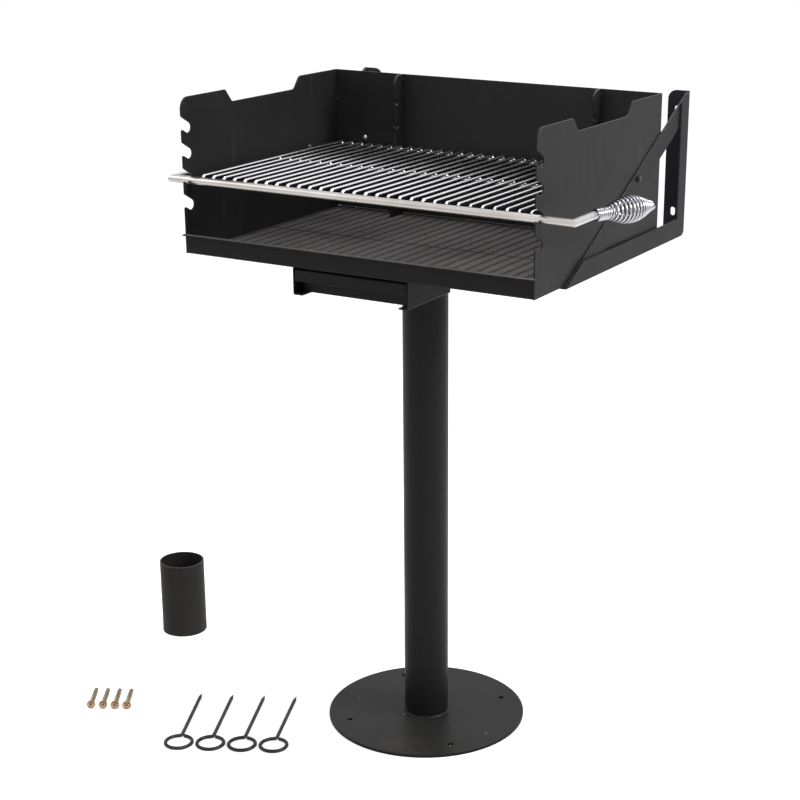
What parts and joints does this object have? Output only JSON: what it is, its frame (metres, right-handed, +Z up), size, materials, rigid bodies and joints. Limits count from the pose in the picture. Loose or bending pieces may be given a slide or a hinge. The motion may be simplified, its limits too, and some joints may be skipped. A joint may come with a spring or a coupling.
{
  "type": "park barbecue grill on a pedestal",
  "caption": "Open-front steel firebox on a round post with a disc base, a notched lift-out grate with coil handles, an ash drawer, wall brackets and a loose fixing kit.",
  "frame": {"origin": "centre of the base plate's underside, on the post's axis", "axes": "+Z up along the post, -Y towards the open front of the firebox, +X to the right of a person facing the front"},
  "size_m": [1.0075, 0.641, 1.0425],
  "materials": {
    "powder_black": "matte",
    "stainless": "satin",
    "chrome": "polished",
    "zinc": "satin",
    "yellow_zinc": "satin",
    "dark_steel": "satin"
  },
  "bodies": {
    "grill": {"base_plate": "powder_black", "post_tube": "powder_black", "post_flange": "powder_black", "flange_studs": "zinc", "flange_nuts": "zinc", "firebox_tray": "powder_black", "left_side_wall": "powder_black", "right_side_wall": "powder_black", "back_wall": "powder_black", "back_rivets": "powder_black", "left_grate_fin": "powder_black", "right_grate_fin": "powder_black", "left_support_arm": "powder_black", "right_support_arm": "powder_black", "left_wall_upright": "powder_black", "right_wall_upright": "powder_black", "left_brace": "powder_black", "right_brace": "powder_black", "brace_bolts": "powder_black", "brace_nuts": "powder_black", "drawer_channel": "powder_black"},
    "grate": {"grate_front_bar": "stainless", "left_grate_arm": "stainless", "right_grate_arm": "stainless", "grate_rods": "stainless", "grate_mid_crossbar": "stainless", "grate_rear_crossbar": "stainless", "left_coil_handle": "chrome", "right_coil_handle": "chrome"},
    "ash_drawer": {"ash_drawer": "powder_black"},
    "ground_sleeve": {"ground_sleeve": "powder_black"},
    "anchor_bolts": {"anchor_studs": "yellow_zinc", "anchor_sleeves": "yellow_zinc", "anchor_washers": "yellow_zinc", "anchor_nuts": "yellow_zinc"},
    "ring_pegs": {"ring_peg_1": "dark_steel", "ring_peg_2": "dark_steel", "ring_peg_3": "dark_steel", "ring_peg_4": "dark_steel"}
  },
  "joints": [
    {"name": "grate_unhook", "type": "slide", "parent": "grill", "child": "grate", "axis": [0, -0.8704, 0.4924], "range_m": [0, 0.3]},
    {"name": "ash_drawer_pull", "type": "slide", "parent": "grill", "child": "ash_drawer", "axis": [0, -1, 0], "range_m": [0, 0.11]},
    {"name": "ground_sleeve_lift", "type": "slide", "parent": "grill", "child": "ground_sleeve", "axis": [0, 0, 1], "range_m": [0, 0.3]},
    {"name": "anchor_bolts_lift", "type": "slide", "parent": "grill", "child": "anchor_bolts", "axis": [0, 0, 1], "range_m": [0, 0.3]},
    {"name": "ring_pegs_lift", "type": "slide", "parent": "grill", "child": "ring_pegs", "axis": [0, 0, 1], "range_m": [0, 0.3]}
  ]
}
